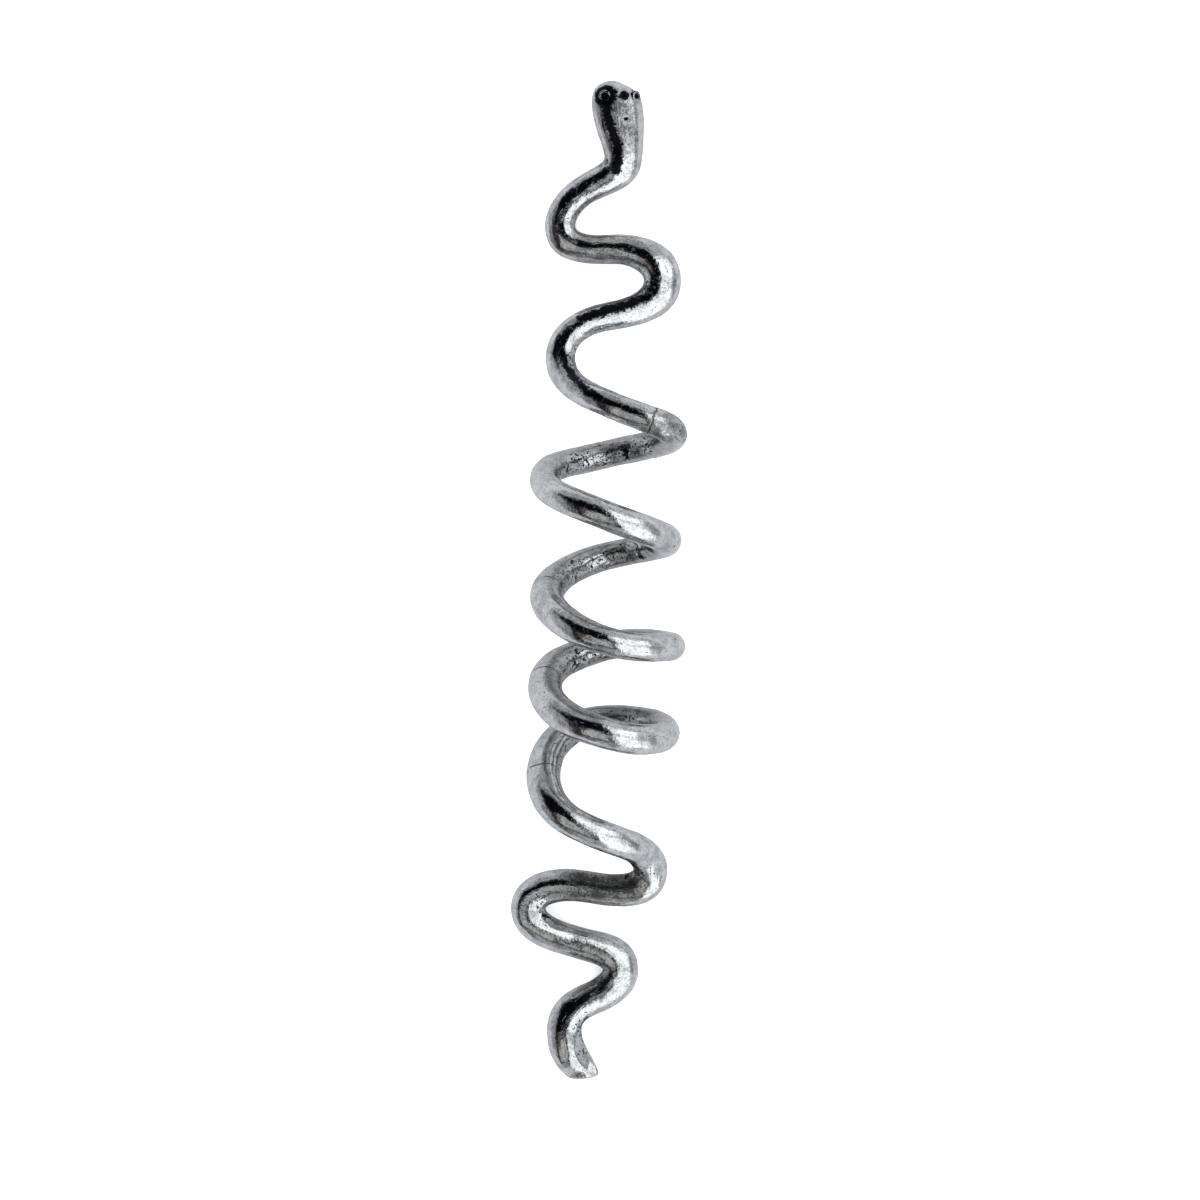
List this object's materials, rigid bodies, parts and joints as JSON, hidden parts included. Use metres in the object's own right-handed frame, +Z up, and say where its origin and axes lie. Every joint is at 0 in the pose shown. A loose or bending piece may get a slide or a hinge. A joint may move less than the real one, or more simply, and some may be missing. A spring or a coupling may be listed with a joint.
{
  "type": "snake-shaped spiral bun pin",
  "caption": "Spiral hair pin bent from one metal wire as a snake: zigzag neck and tail with a coil between them that winds into a bun of hair.",
  "frame": {"origin": "middle of the bounding box's footprint, on the surface that the pin lies on", "axes": "+Y along the pin towards the snake's snout, +Z up from the surface, +X across to the right seen from above with the head away"},
  "size_m": [0.0158, 0.09, 0.0144],
  "materials": {
    "silvered_metal": "polished antique silver plating, with fine wear and darkened recesses"
  },
  "bodies": {
    "root": {"snake_wire": "silvered_metal"}
  },
  "joints": []
}
